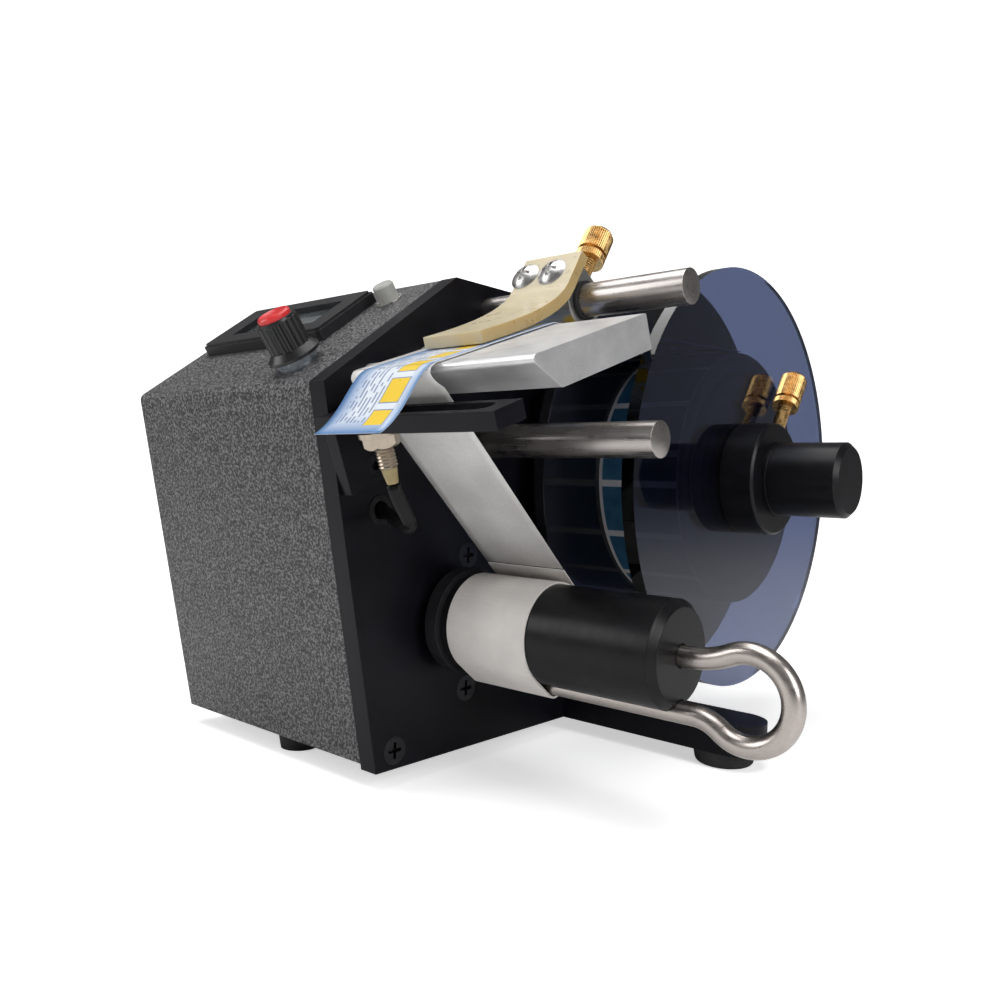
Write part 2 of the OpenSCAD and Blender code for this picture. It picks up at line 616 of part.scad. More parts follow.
module knob() color([0.06, 0.06, 0.06]) place() on_slope() translate([-knob_x, knob_s, knob_z]) {
    ribs = 18;
    difference() {
        union() {
            cylinder(r = 7.8, h = 0.9);
            translate([0, 0, 0.9]) cylinder(r1 = 7.7, r2 = 5.9, h = 1.9);
            translate([0, 0, 2.6]) linear_extrude(knob_h - 3.4) polygon([for (i = [0:4 * ribs - 1])
                (i % 4 < 2 ? 6.05 : 5.5) * at_angle(i * 90 / ribs)]);
            translate([0, 0, knob_h - 0.8]) cylinder(r1 = 5.6, r2 = 5.3, h = 0.8);
        }
        translate([0, 0, -1]) cylinder(r = 3, h = 9.7);
        translate([0, 0, knob_h - 1.2]) cylinder(r = 4.8, h = 2);
    }
}
module knob_cap() color([0.82, 0.12, 0.12]) place() on_slope()
    translate([-knob_x, knob_s, knob_z + knob_h - 1.2]) difference() {
        union() {
            cylinder(r = 4.8, h = 2.2);
            translate([0, 0, 2.2]) cylinder(r1 = 4.8, r2 = 4.3, h = 0.5);
        }
        translate([0, 0, 15]) sphere(13);
    }
module button_body() color([0.5, 0.5, 0.5]) place() on_slope() translate([-button_x, button_s, 0])
    difference() {
        union() {
            cylinder(r = 4.2, h = 0.4);
            translate([0, 0, -2]) cylinder(r = 3.9, h = 2.2);
            translate([0, 0, -16]) cylinder(r = 5.2, h = 14.4);
        }
        translate([0, 0, -7 - button_travel]) cylinder(r = 3.45, h = 10 + button_travel);
    }
module button_cap() color([0.72, 0.74, 0.73]) place() on_slope() translate([-button_x, button_s, -6])
    union() {
        cylinder(r = 3.3, h = 11);
        translate([0, 0, 11]) cylinder(r1 = 3.3, r2 = 2.8, h = 0.6);
    }

// ---- reel ------------------------------------------------------------------------------------

hub_in = -36;
bearing_w = 7;
journal_r = 5;
module bearing_hub() color([0.70, 0.70, 0.72]) place() difference() {
    union() {
        reel_axis(hub_in) cylinder(r = 15, h = -hub_in - plate_t);
        reel_axis(-plate_t - 6) cylinder(r = 22, h = 6);
        reel_axis(-plate_t) cylinder(r = boss_r, h = plate_t - 0.5);
    }
    reel_axis(hub_in - 1) cylinder(r = 9, h = 40);
    reel_axis(hub_in - 1) cylinder(r = 11, h = bearing_w + 1);
    reel_axis(-0.5 - bearing_w) cylinder(r = 11, h = bearing_w + 1);
    for (a = hub_screw_a) reel_axis(-20) rotate(a) translate([hub_screw_r, 0, 0])
        cylinder(r = 2, h = 20);
}
module reel_bearings() color([0.62, 0.62, 0.64]) place() for (x = [hub_in, -0.5 - bearing_w])
    difference() {
        reel_axis(x) ring(11, journal_r + 0.05, bearing_w);
        reel_axis(x - 1) ring(9.4, 6.8, 1.6);
        reel_axis(x + bearing_w - 0.6) ring(9.4, 6.8, 1.6);
    }
shaft_chamfer = 1.55;
module reel_shaft() color([0.05, 0.05, 0.06]) place() difference() {
    union() {
        reel_axis(-52) cylinder(r = journal_r, h = 53);
        reel_axis(0) cylinder(r = 7, h = 5);
        reel_axis(4.5) cylinder(r = shaft_r, h = shaft_end - shaft_chamfer - 4.5);
        reel_axis(shaft_end - shaft_chamfer)
            cylinder(r1 = shaft_r, r2 = shaft_r - shaft_chamfer, h = shaft_chamfer);
    }
    reel_axis(collar_x + collar_w + 1.4) ring(shaft_r + 1, shaft_r - 0.2, 0.5);
}
module brake_pad() color([0.45, 0.40, 0.32]) place() reel_axis(hub_in - 1.8) ring(13.5, 6, 1.8);
module brake_plate() color([0.6, 0.6, 0.62]) place() {
    reel_axis(hub_in - 4.2) ring(13.5, journal_r, 2);
    reel_axis(-50.5) ring(8, journal_r, 2.5);
}
spring_r = 6.6;
spring_turns = 4;
spring_len = 6.2;
module brake_spring() color([0.55, 0.55, 0.58]) place()
    swept_tube([for (i = [0:16 * spring_turns]) let (a = i * 22.5)
        [-47.1 + (spring_len) * i / (16 * spring_turns), reel_y + spring_r * cos(a),
         reel_z + spring_r * sin(a)]], 0.65);
module inner_disc() color([0.04, 0.04, 0.05]) place() difference() {
    union() {
        reel_axis(web_x - 4) cylinder(r = disc_r, h = 3.9);
        reel_axis(4.5) cylinder(r = 18, h = 4);
    }
    reel_axis(4) cylinder(r = shaft_r, h = 10);
}
module roll_core() color([0.62, 0.52, 0.38]) place() reel_axis(web_x) ring(14.9, shaft_r + 0.05, web_w);
module label_roll() color([0.55, 0.68, 0.80]) place() reel_axis(web_x) ring(roll_r, 14.9, web_w);
module outer_flange() color([0.25, 0.32, 0.50, 0.6]) place()
    reel_axis(flange_x) ring(flange_r, shaft_r + 0.05, flange_t);
collar_mid = collar_x + collar_w / 2;
module at_collar_screw() place() translate([collar_mid, reel_y, reel_z])
    rotate([-collar_screw_a, 0, 0]) children();
module hub_collar() color([0.04, 0.04, 0.05]) difference() {
    place() difference() {
        union() {
            reel_axis(collar_x) cylinder(r = collar_r, h = collar_w - 0.8);
            reel_axis(collar_x + collar_w - 0.8) cylinder(r1 = collar_r, r2 = collar_r - 0.8, h = 0.8);
        }
        reel_axis(collar_x - 1) cylinder(r = shaft_r + 0.05, h = collar_w + 2);
    }
    at_collar_screw() translate([0, 0, shaft_r - 2]) cylinder(r = 2.4, h = 12);
}
module collar_thumbscrew() color([0.80, 0.62, 0.30]) at_collar_screw()
    translate([0, 0, shaft_r + 0.3]) thumbscrew(4.7, 19.5, 9.6, 14);

// ---- take-up roller ----------------------------------------------------------------------------

module gearmotor() color([0.55, 0.56, 0.57]) place() difference() {
    union() {
        translate([-32, 20, 13.3]) cube([32 - plate_t, 32, 52]);
        along_x(-76, 38, 45) cylinder(r = 16, h = 45);
        along_x(-80, 38, 45) cylinder(r = 6, h = 5);
        translate([-79, 30, 48]) cube([4, 1, 6]);
        translate([-79, 45, 48]) cube([4, 1, 6]);
    }
    roller_axis(-34) cylinder(r = 3.05, h = 30);
    for (p = motor_screw_at) along_x(-14, p.x, p.y) cylinder(r = 2, h = 10);
}
module roller_shaft() color([0.68, 0.68, 0.70]) place() roller_axis(-30) cylinder(r = 3, h = 64);
module roller_bushing() color([0.72, 0.56, 0.34]) place() difference() {
    union() {
        roller_axis(-plate_t + 0.2) cylinder(r = 6, h = plate_t - 0.2);
        roller_axis(0) cylinder(r = 8.5, h = 1.2);
    }
    roller_axis(-plate_t - 1) cylinder(r = 3.05, h = plate_t + 4);
}
roller_chamfer = 1.9;
clip_r = clip_d / 2;
clip_gap = 0.4;
roller_in = 9;
groove_x = 11;
module take_up_roller() color([0.07, 0.07, 0.08]) place() difference() {
    union() {
        roller_axis(roller_in) cylinder(r = roller_r, h = roller_end - roller_chamfer - roller_in);
        roller_axis(roller_end - roller_chamfer)
            cylinder(r1 = roller_r, r2 = roller_r - roller_chamfer, h = roller_chamfer);
    }
    roller_axis(roller_in - 1) cylinder(r = 3, h = 26);
    roller_axis(44) cylinder(r = clip_r + 0.3, h = 40);
    along_x(groove_x, roller_y, clip_leg_z) cylinder(r = clip_r + clip_gap, h = 80);
    translate([groove_x, roller_y - clip_r - clip_gap, clip_leg_z - 5])
        cube([80, clip_d + 2 * clip_gap, 5]);
}
module roller_flange() color([0.05, 0.05, 0.06]) place() roller_axis(4.5) ring(15.6, 3, 4.4);
// Outline of paper wound tight over the roller and the clip's leg, d above them
function wound_outline(d) =
    let (big = roller_r + d, small = clip_r + clip_gap + d, turn = acos((big - small) / clip_leg_drop))
    concat([for (i = [0:48]) big * at_angle(turn - 90 + i * (360 - 2 * turn) / 48)],
           [for (i = [0:12]) [0, -clip_leg_drop] + small * at_angle(-90 - turn + i * turn / 6)]);
// The last turn leaves as a short tail, in line with the strip that comes down from the block
module wound_liner() color([0.93, 0.92, 0.89]) place() {
    translate([0, roller_y, roller_z]) difference() {
        extrude_x(web_x, web_end) polygon(wound_outline(liner_r - roller_r));
        extrude_x(web_x - 1, web_end + 1) polygon(wound_outline(0.02));
    }
    extrude_x(web_x, web_end) polygon(ribbon(tail_line, paper_t));
}

// The clip: two legs that swing out through a neck each into a round handle
loop_z = roller_z - clip_loop_drop;
leg_x = 14.2;
joint_r = clip_r + 0.02;
// Radius of the neck that leads a leg at height h above the handle's middle into it at angle a
function neck_radius(h, a) = (clip_loop_r * cos(a) - h) / (1 - cos(a));
function neck_start(h, a) = clip_loop_x - (clip_loop_r + neck_radius(h, a)) * sin(a);
upper_neck = [clip_loop_drop, 24];
lower_neck = [clip_leg_drop - clip_loop_drop, 38];
// One leg and its neck, drawn above the handle's middle
module clip_leg(neck, from_x) {
    h = neck[0];
    a = neck[1];
    x = neck_start(h, a);
    r = neck_radius(h, a);
    along_x(from_x, 0, h) cylinder(r = clip_r, h = x - from_x);
    along_x(from_x, 0, h) sphere(clip_r);
    along_x(x, 0, h) sphere(joint_r);
    translate([x, 0, h + r]) elbow(r, -90, a, clip_r);
    translate([clip_loop_x - clip_loop_r * sin(a), 0, clip_loop_r * cos(a)]) sphere(joint_r);
}
module wire_clip() color([0.72, 0.71, 0.70]) place() translate([0, roller_y, loop_z]) {
    clip_leg(upper_neck, 50);
    mirror([0, 0, 1]) clip_leg(lower_neck, leg_x);
    translate([clip_loop_x, 0, 0]) elbow(clip_loop_r, -90 - lower_neck[1],
        180 + lower_neck[1] + upper_neck[1], clip_r);
}

// ---- paper path --------------------------------------------------------------------------------

// Angle and length of the tangent from point p to a circle; side is 1 for its upper side
function tangent_angle(p, mid, r, side) =
    atan2(mid.y - p.y, mid.x - p.x) + side * asin(r / norm(mid - p));
function tangent_length(p, mid, r) = sqrt(pow(norm(mid - p), 2) - r * r);
block_rear = [nose_y, nose_z] + turned([block_l - 0.5, paper_gap], block_tilt);
nose = [nose_y, nose_z] + turned([0.9, paper_gap], block_tilt);
nose_front = [nose_y, nose_z] + turned([-0.5, -0.6], block_tilt);
roll_mid = [reel_y, reel_z];
roller_mid = [roller_y, roller_z];
roll_reach = tangent_length(block_rear, roll_mid, roll_r + 0.5);
roll_line = tangent_angle(block_rear, roll_mid, roll_r + 0.5, 1);
liner_reach = tangent_length(nose_front, roller_mid, liner_r);
liner_line = tangent_angle(nose_front, roller_mid, liner_r, 1);
// The strip stops where the tail's end and the bulge over the clip sweep past
function reach_at(r) = liner_reach - sqrt(r * r - liner_r * liner_r);
tail_line = [for (d = [reach_at(17.7), liner_reach]) nose_front + d * at_angle(liner_line)];
web_line = [block_rear + roll_reach * at_angle(roll_line), block_rear, nose];
liner_strip_line = [nose, nose_front, nose_front + reach_at(18.4) * at_angle(liner_line)];
// The label that has left the nose hangs forward in front of the arm: [back, height]
label_line = [nose + turned([0, 0.05], block_tilt), [-23.6, 108.8], [-26.9, 106.7], [-29.6, 103.9],
    [-32.1, 100.3], [-34.4, 96.4], [label_end_y, 92.8]];
label_x = [16.3, 39.6];
module paper_web() color([0.93, 0.93, 0.92]) place() {
    extrude_x(web_x, web_end) polygon(ribbon(web_line, paper_t));
    extrude_x(web_x, web_end) polygon(ribbon(liner_strip_line, paper_t));
    extrude_x(label_x[0], label_x[1]) polygon(ribbon(label_line, paper_t));
}

// ---- electrics inside the housing --------------------------------------------------------------

board = [-88, 62, 12];
board_size = [50, 31, 1.6];
module control_board() color([0.10, 0.32, 0.18]) place() {
    translate(board) cube(board_size);
    for (x = [4, 46], y = [4, 27]) translate([board.x + x, board.y + y, shell_lift + wall])
        cylinder(r = 2.4, h = board.z - shell_lift - wall);
    translate([board.x + 32, board.y + 4, board.z + 1.6]) cube([8, 6, 7]);
    translate([board.x + 8, board.y + 15, board.z + 1.6]) cylinder(r = 5, h = 16);
    translate([board.x + 20, board.y + 14, board.z + 1.6]) cylinder(r = 4, h = 12);
    translate([board.x + 28, board.y + 14, board.z + 1.6]) cube([18, 8, 3.5]);
}
module power_inlet() color([0.07, 0.07, 0.08]) place() {
    translate([inlet_at.x, plate_back - 22, inlet_at.y]) difference() {
        union() {
            cube([28, 22, 20]);
            translate([-3, 22, -2]) cube([34, 2, 24]);
        }
        translate([3, 8, 3]) cube([22, 20, 14]);
    }
    translate([inlet_at.x, plate_back - 22, inlet_at.y]) for (x = [8, 14, 20])
        translate([x - 1, 4, x == 14 ? 12 : 7]) cube([2, 14, 4]);
}
rocker_at = [switch_at.x + 6.5, plate_back, switch_at.y + 9.5];
rocker_rest = 9;
module switch_body() color([0.06, 0.06, 0.06]) place() translate(rocker_at) difference() {
    union() {
        translate([-6.4, -20, -9.4]) cube([12.8, 20, 18.8]);
        translate([-8.5, 0, -11.5]) cube([17, 1.8, 23]);
    }
    translate([-4.6, -8, -7.8]) cube([9.2, 12, 15.6]);
    translate([-5.8, 0, 0]) rotate([0, 90, 0]) cylinder(r = 1.25, h = 11.6);
}
module switch_rocker() color([0.08, 0.08, 0.08]) place() translate(rocker_at)
    rotate([rocker_rest, 0, 0]) {
        intersection() {
            translate([-4.3, -3, -7.2]) cube([8.6, 7, 14.4]);
            rotate([0, 90, 0]) translate([0, 0, -5]) difference() {
                cylinder(r = 7.4, h = 10);
                translate([0, 13, -1]) cylinder(r = 11, h = 12);
            }
        }
        translate([-5.5, 0, 0]) rotate([0, 90, 0]) cylinder(r = 1.2, h = 11);
    }

side_plate();
housing_shell();
base_pan();
housing_feet();
bar_foot();
foot_screws();
base_bar();
inside_screws();
housing_screws();
motor_screws();
upper_rod();
lower_rod();
rod_ring();
peel_block();
clamp_block();
clamp_thumbscrew();
hold_down_blade();
blade_screws();
sensor_bracket();
bracket_screw();
sensor_barrel();
sensor_nuts();
sensor_potting();
sensor_cable();
cable_grommet();
counter_bezel();
counter_lens();
counter_display();
counter_body();
pot_body();
pot_nut();
pot_shaft();
knob();
knob_cap();
button_body();
button_cap();
bearing_hub();
reel_bearings();
reel_shaft();
brake_pad();
brake_plate();
brake_spring();
inner_disc();
roll_core();
label_roll();
outer_flange();
hub_collar();
collar_thumbscrew();
gearmotor();
roller_shaft();
roller_bushing();
take_up_roller();
roller_flange();
wire_clip();
paper_web();
wound_liner();
control_board();
power_inlet();
switch_body();
switch_rocker();
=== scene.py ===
"""Looks of the bench-top label dispenser: materials, paper, sensor lead, studio and camera."""

import math

import bpy
from mathutils import Matrix, Vector


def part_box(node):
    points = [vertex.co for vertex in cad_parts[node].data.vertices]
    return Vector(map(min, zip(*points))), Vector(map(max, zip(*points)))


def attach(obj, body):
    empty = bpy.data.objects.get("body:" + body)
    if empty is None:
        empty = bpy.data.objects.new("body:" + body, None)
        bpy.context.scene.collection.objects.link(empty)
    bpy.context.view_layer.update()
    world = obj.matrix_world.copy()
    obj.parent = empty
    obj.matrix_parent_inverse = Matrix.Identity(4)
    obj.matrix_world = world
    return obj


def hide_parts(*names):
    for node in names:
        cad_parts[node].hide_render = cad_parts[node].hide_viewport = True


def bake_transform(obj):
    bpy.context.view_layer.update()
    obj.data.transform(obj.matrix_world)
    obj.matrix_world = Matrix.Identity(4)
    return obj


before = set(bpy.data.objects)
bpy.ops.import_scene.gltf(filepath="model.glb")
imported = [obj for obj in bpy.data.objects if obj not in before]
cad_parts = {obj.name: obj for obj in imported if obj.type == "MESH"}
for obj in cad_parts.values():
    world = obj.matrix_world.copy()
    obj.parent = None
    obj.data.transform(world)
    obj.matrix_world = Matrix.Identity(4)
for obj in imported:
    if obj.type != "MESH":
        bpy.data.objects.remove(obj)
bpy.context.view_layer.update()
MM = 0.001

# ---- places -----------------------------------------------------------------------------------
# Points are given in millimetres from the side plate's outer face and bottom front corner:
# x outward along the shafts, y to the back, z up.

PLATE_DEPTH = 165
plate_low, plate_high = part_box("side_plate")
CORNER = Vector((plate_high.x, plate_high.y - PLATE_DEPTH * MM, plate_low.z))


def at(x, y, z):
    return CORNER + Vector((x, y, z)) * MM


REEL = (132.2, 86.35)
ROLLER = (28.8, 41.5)
ROLL_RADIUS = 44.6
LINER_RADIUS = 14.5
BLOCK_NOSE = (-21.1, 109.2)
BLOCK_TILT = math.radians(19.8)
BLOCK_LENGTH = 48.5
PAPER_GAP = 0.35
WEB_START, WEB_WIDTH = 12.1, 27.9


def turned(y, z, angle):
    return (y * math.cos(angle) - z * math.sin(angle), y * math.sin(angle) + z * math.cos(angle))


def on_block(y, z):
    dy, dz = turned(y, z, BLOCK_TILT)
    return (BLOCK_NOSE[0] + dy, BLOCK_NOSE[1] + dz)


# ---- camera -----------------------------------------------------------------------------------

CAMERA_AT = (184.33, -163.06, 83.3)
CAMERA_AZIMUTH = math.radians(40.88)
CAMERA_ELEVATION = math.radians(1.28)
CAMERA_ROLL = math.radians(1.54)
CAMERA_LENS = 31.61


def make_camera():
    data = bpy.data.cameras.new("camera")
    data.sensor_width = 36
    data.lens = CAMERA_LENS
    data.clip_start = 0.01
    camera = bpy.data.objects.new("camera", data)
    bpy.context.collection.objects.link(camera)
    level = math.cos(CAMERA_ELEVATION)
    forward = Vector((-math.sin(CAMERA_AZIMUTH) * level, math.cos(CAMERA_AZIMUTH) * level,
                      -math.sin(CAMERA_ELEVATION)))
    side = forward.cross(Vector((0, 0, 1))).normalized()
    above = side.cross(forward)
    right = side * math.cos(CAMERA_ROLL) + above * math.sin(CAMERA_ROLL)
    up = above * math.cos(CAMERA_ROLL) - side * math.sin(CAMERA_ROLL)
    turn = Matrix((right, up, -forward)).transposed().to_4x4()
    camera.matrix_world = Matrix.Translation(at(*CAMERA_AT)) @ turn
    bpy.context.scene.camera = camera


# ---- shader arithmetic ------------------------------------------------------------------------

NOISE_RANGE = (0.3, 0.7)


class Value:
    """A number or vector output in a node tree, with the usual operators."""

    def __init__(self, tree, socket):
        self.tree, self.socket = tree, socket

    def math(self, operation, *others, clamp=False):
        node = self.tree.nodes.new("ShaderNodeMath")
        node.operation, node.use_clamp = operation, clamp
        for slot, given in zip(node.inputs, (self, *others)):
            plug(self.tree, given, slot)
        return Value(self.tree, node.outputs[0])

    def __add__(self, other):
        return self.math("ADD", other)

    def __sub__(self, other):
        return self.math("SUBTRACT", other)

    def __mul__(self, other):
        return self.math("MULTIPLY", other)

    def __truediv__(self, other):
        return self.math("DIVIDE", other)

    def above(self, edge, softness):
        """0 below the edge and 1 past it, with a ramp of the given width."""
        return ((self - edge) / softness).math("ADD", 0.5, clamp=True)

    def below(self, edge, softness):
        return ((self * -1 + edge) / softness).math("ADD", 0.5, clamp=True)

    def within(self, low, high, softness):
        return self.above(low, softness) * self.below(high, softness)


def plug(tree, given, slot):
    if isinstance(given, Value):
        tree.links.new(given.socket, slot)
    else:
        slot.default_value = given


class Surface:
    """One material: a Principled shader and the nodes that vary it over the object."""

    def __init__(self, name, color, roughness, metallic=0.0, ior=1.5, **inputs):
        self.material = bpy.data.materials.new(name)
        self.material.use_nodes = True
        self.tree = self.material.node_tree
        self.shader = self.tree.nodes["Principled BSDF"]
        self.shader.inputs["Base Color"].default_value = (*color, 1)
        self.shader.inputs["Roughness"].default_value = roughness
        self.shader.inputs["Metallic"].default_value = metallic
        self.shader.inputs["IOR"].default_value = ior
        for key, given in inputs.items():
            self.shader.inputs[key.replace("_", " ").title()].default_value = given
        self.coordinates = self.tree.nodes.new("ShaderNodeTexCoord")

    def level(self, specular):
        self.shader.inputs["Specular IOR Level"].default_value = specular
        return self

    def position(self, origin=None, stretch=(1, 1, 1), turn=(0, 0, 0)):
        """Place on the object in metres, from a point, turned and stretched."""
        shift = self.tree.nodes.new("ShaderNodeVectorMath")
        shift.operation = "SUBTRACT"
        self.tree.links.new(self.coordinates.outputs["Object"], shift.inputs[0])
        shift.inputs[1].default_value = origin or (0, 0, 0)
        mapping = self.tree.nodes.new("ShaderNodeMapping")
        mapping.inputs["Rotation"].default_value = turn
        mapping.inputs["Scale"].default_value = stretch
        self.tree.links.new(shift.outputs[0], mapping.inputs["Vector"])
        return mapping.outputs[0]

    def parts(self, vector):
        split = self.tree.nodes.new("ShaderNodeSeparateXYZ")
        self.tree.links.new(vector, split.inputs[0])
        return [Value(self.tree, out) for out in split.outputs]

    def join(self, x, y, z):
        node = self.tree.nodes.new("ShaderNodeCombineXYZ")
        for slot, given in zip(node.inputs, (x, y, z)):
            plug(self.tree, given, slot)
        return node.outputs[0]

    def along(self, origin, direction):
        """Distance from a point along a direction, in metres."""
        dot = self.tree.nodes.new("ShaderNodeVectorMath")
        dot.operation = "DOT_PRODUCT"
        self.tree.links.new(self.position(origin), dot.inputs[0])
        dot.inputs[1].default_value = direction
        return Value(self.tree, dot.outputs["Value"])

    def radius(self, y, z):
        """Distance from an axis that runs along X through the point (y, z)."""
        _, dy, dz = self.parts(self.position(at(0, y, z)))
        return (dy * dy + dz * dz).math("SQRT")

    def noise(self, size, detail=4.0, roughness=0.55, vector=None, stretch=(1, 1, 1)):
        """Noise whose features are about size millimetres across."""
        node = self.tree.nodes.new("ShaderNodeTexNoise")
        node.inputs["Scale"].default_value = 1000 / size
        node.inputs["Detail"].default_value = detail
        node.inputs["Roughness"].default_value = roughness
        self.tree.links.new(vector or self.position(stretch=stretch), node.inputs["Vector"])
        return Value(self.tree, node.outputs["Fac"])

    def ramp(self, value, *stops):
        node = self.tree.nodes.new("ShaderNodeValToRGB")
        plug(self.tree, value, node.inputs[0])
        elements = node.color_ramp.elements
        while len(elements) < len(stops):
            elements.new(0.5)
        for element, (place, color) in zip(elements, stops):
            element.position = place
            element.color = (*color, 1)
        return node.outputs[0]

    def mix(self, amount, first, second):
        node = self.tree.nodes.new("ShaderNodeMix")
        node.data_type = "RGBA"
        plug(self.tree, amount, node.inputs[0])
        for slot, given in zip((node.inputs[6], node.inputs[7]), (first, second)):
            if isinstance(given, tuple):
                slot.default_value = (*given, 1)
            else:
                self.tree.links.new(given, slot)
        return node.outputs[2]

    def color(self, socket):
        self.tree.links.new(socket, self.shader.inputs["Base Color"])
        return self

    def roughness(self, value, low, high):
        node = self.tree.nodes.new("ShaderNodeMapRange")
        plug(self.tree, value, node.inputs[0])
        node.inputs[1].default_value, node.inputs[2].default_value = NOISE_RANGE
        node.inputs[3].default_value, node.inputs[4].default_value = low, high
        self.tree.links.new(node.outputs[0], self.shader.inputs["Roughness"])
        return self

    def bump(self, value, depth, edge=0.0):
        """Relief of the given depth in millimetres, over edges rounded to edge millimetres."""
        node = self.tree.nodes.new("ShaderNodeBump")
        node.inputs["Distance"].default_value = depth * MM
        plug(self.tree, value, node.inputs["Height"])
        if edge:
            bevel = self.tree.nodes.new("ShaderNodeBevel")
            bevel.samples = 4
            bevel.inputs["Radius"].default_value = edge * MM
            self.tree.links.new(bevel.outputs[0], node.inputs["Normal"])
        self.tree.links.new(node.outputs[0], self.shader.inputs["Normal"])
        return self


def shade(color, factor):
    return tuple(channel * factor for channel in color)


# ---- materials --------------------------------------------------------------------------------


def hammertone(name):
    surface = Surface(name, (0.06, 0.06, 0.06), 0.5).level(0.4)
    speck = surface.noise(0.72, 1.6, 0.55)
    fine = surface.noise(0.34, 2.0)
    mixed = speck * 0.85 + fine * 0.15
    surface.color(surface.ramp(mixed, (0.38, (0.012, 0.0115, 0.0125)),
                               (0.47, (0.035, 0.034, 0.036)), (0.53, (0.105, 0.102, 0.105)),
                               (0.62, (0.20, 0.196, 0.20))))
    surface.roughness(mixed, 0.36, 0.6)
    return surface.bump(mixed, 0.16, 0.3)


def anodised(name, color=(0.0045, 0.0045, 0.007), roughness=0.36, edge=0.35, specular=0.18):
    surface = Surface(name, color, roughness).level(specular)
    cloud = surface.noise(9, 3)
    grain = surface.noise(0.18, 2)
    surface.color(surface.ramp(cloud, (0.3, shade(color, 0.8)), (0.7, shade(color, 1.35))))
    surface.roughness(cloud * 0.6 + grain * 0.4, roughness - 0.06, roughness + 0.08)
    return surface.bump(grain, 0.012, edge)


def turned_black(name, axis, color=(0.0045, 0.0045, 0.006)):
    """Black anodised bar turned about an axis along X: faint tool rings."""
    surface = Surface(name, color, 0.33).level(0.22)
    x, _, _ = surface.parts(surface.position())
    radius = surface.radius(*axis)
    rings = surface.noise(0.35, 2, 0.5, surface.join(x, radius, 0.0))
    cloud = surface.noise(7, 3)
    surface.color(surface.ramp(cloud, (0.3, shade(color, 0.8)), (0.7, shade(color, 1.5))))
    surface.roughness(rings * 0.6 + cloud * 0.4, 0.26, 0.42)
    return surface.bump(rings, 0.012, 0.35)


def brushed(name, color, stretch, roughness=0.29, size=0.35, edge=0.2, metallic=1.0):
    """Bare metal with fine lines; the lines run along the direction with the small stretch."""
    surface = Surface(name, color, roughness, metallic)
    line = surface.noise(size, 3, 0.6, stretch=stretch)
    cloud = surface.noise(6, 3)
    surface.color(surface.ramp(cloud * 0.5 + line * 0.5, (0.3, shade(color, 0.84)),
                               (0.7, shade(color, 1.08))))
    surface.roughness(line * 0.7 + cloud * 0.3, roughness - 0.07, roughness + 0.10)
    return surface.bump(line, 0.010, edge)


def plated(name, color, roughness=0.16):
    surface = Surface(name, color, roughness, 1.0)
    cloud = surface.noise(1.6, 4)
    surface.color(surface.ramp(cloud, (0.3, shade(color, 0.86)), (0.7, shade(color, 1.06))))
    surface.roughness(cloud, roughness - 0.05, roughness + 0.09)
    return surface.bump(cloud, 0.015, 0.15)


def rubber(name, color=(0.018, 0.018, 0.019)):
    surface = Surface(name, color, 0.72).level(0.35)
    grain = surface.noise(0.35, 3)
    dust = surface.noise(6, 4)
    surface.color(surface.ramp(dust, (0.35, color), (0.75, shade(color, 2.0))))
    surface.roughness(dust * 0.5 + grain * 0.5, 0.62, 0.82)
    return surface.bump(grain, 0.05, 0.3)


def plastic(name, color, roughness=0.4, relief=0.03, specular=0.45):
    surface = Surface(name, color, roughness).level(specular)
    grain = surface.noise(0.30, 2)
    cloud = surface.noise(7, 3)
    surface.color(surface.ramp(cloud, (0.3, shade(color, 0.88)), (0.7, shade(color, 1.14))))
    surface.roughness(cloud * 0.5 + grain * 0.5, roughness - 0.06, roughness + 0.08)
    return surface.bump(grain, relief, 0.25)


def knurled_brass(name, origin, lean, thread_end):
    """Brass thumbscrew about an axis that leans to the back; threads up to the head."""
    color = (0.74, 0.47, 0.19)
    surface = Surface(name, color, 0.24, 1.0)
    height = surface.along(at(*origin), (0, math.sin(lean), math.cos(lean)))
    on_shank = height.below(thread_end * MM, 0.4 * MM)
    pitch = 0.8 * MM
    thread = (height * (2 * math.pi / pitch)).math("SINE")
    tarnish = surface.noise(2.2, 4)
    surface.color(surface.ramp(tarnish, (0.3, shade(color, 0.62)), (0.55, color),
                               (0.75, (0.84, 0.60, 0.28))))
    surface.roughness(tarnish, 0.18, 0.36)
    grain = surface.noise(0.25, 2)
    return surface.bump(thread * on_shank + grain * 0.12, 0.16, 0.1)


def polyurethane(name):
    """Cast amber blade: pale where it is looked at flat, with a darker, deeper amber painted on its
    cut edges (faces along X) as painted shade for the light that crosses its thickness there.
    """
    surface = Surface(name, (0.72, 0.62, 0.42), 0.3, subsurface_weight=0.45)
    surface.shader.inputs["Subsurface Radius"].default_value = (0.003, 0.0022, 0.0010)
    surface.shader.inputs["Subsurface Scale"].default_value = 1.0
    surface.shader.inputs["Transmission Weight"].default_value = 0.12
    facing = surface.parts(surface.coordinates.outputs["Normal"])[0].math("ABSOLUTE")
    cloud = surface.noise(7, 4)
    flat = surface.ramp(cloud, (0.3, (0.64, 0.55, 0.36)), (0.7, (0.70, 0.61, 0.42)))
    # Faces along X get this darker copy of the amber: painted shade at the cut edges.
    edge_painted_shade = surface.ramp(cloud, (0.3, (0.50, 0.36, 0.16)), (0.7, (0.56, 0.42, 0.20)))
    surface.color(surface.mix(facing.above(0.6, 0.4), flat, edge_painted_shade))
    surface.roughness(cloud, 0.24, 0.40)
    return surface.bump(surface.noise(4, 2), 0.03, 0.25)


def smoked_acrylic(name):
    surface = Surface(name, (0.068, 0.087, 0.165), 0.015, transmission_weight=1.0, ior=1.49)
    scuff = surface.noise(5, 6, 0.7)
    surface.color(surface.ramp(scuff, (0.3, (0.063, 0.080, 0.152)), (0.7, (0.073, 0.094, 0.178))))
    surface.roughness(scuff, 0.0, 0.035)
    return surface


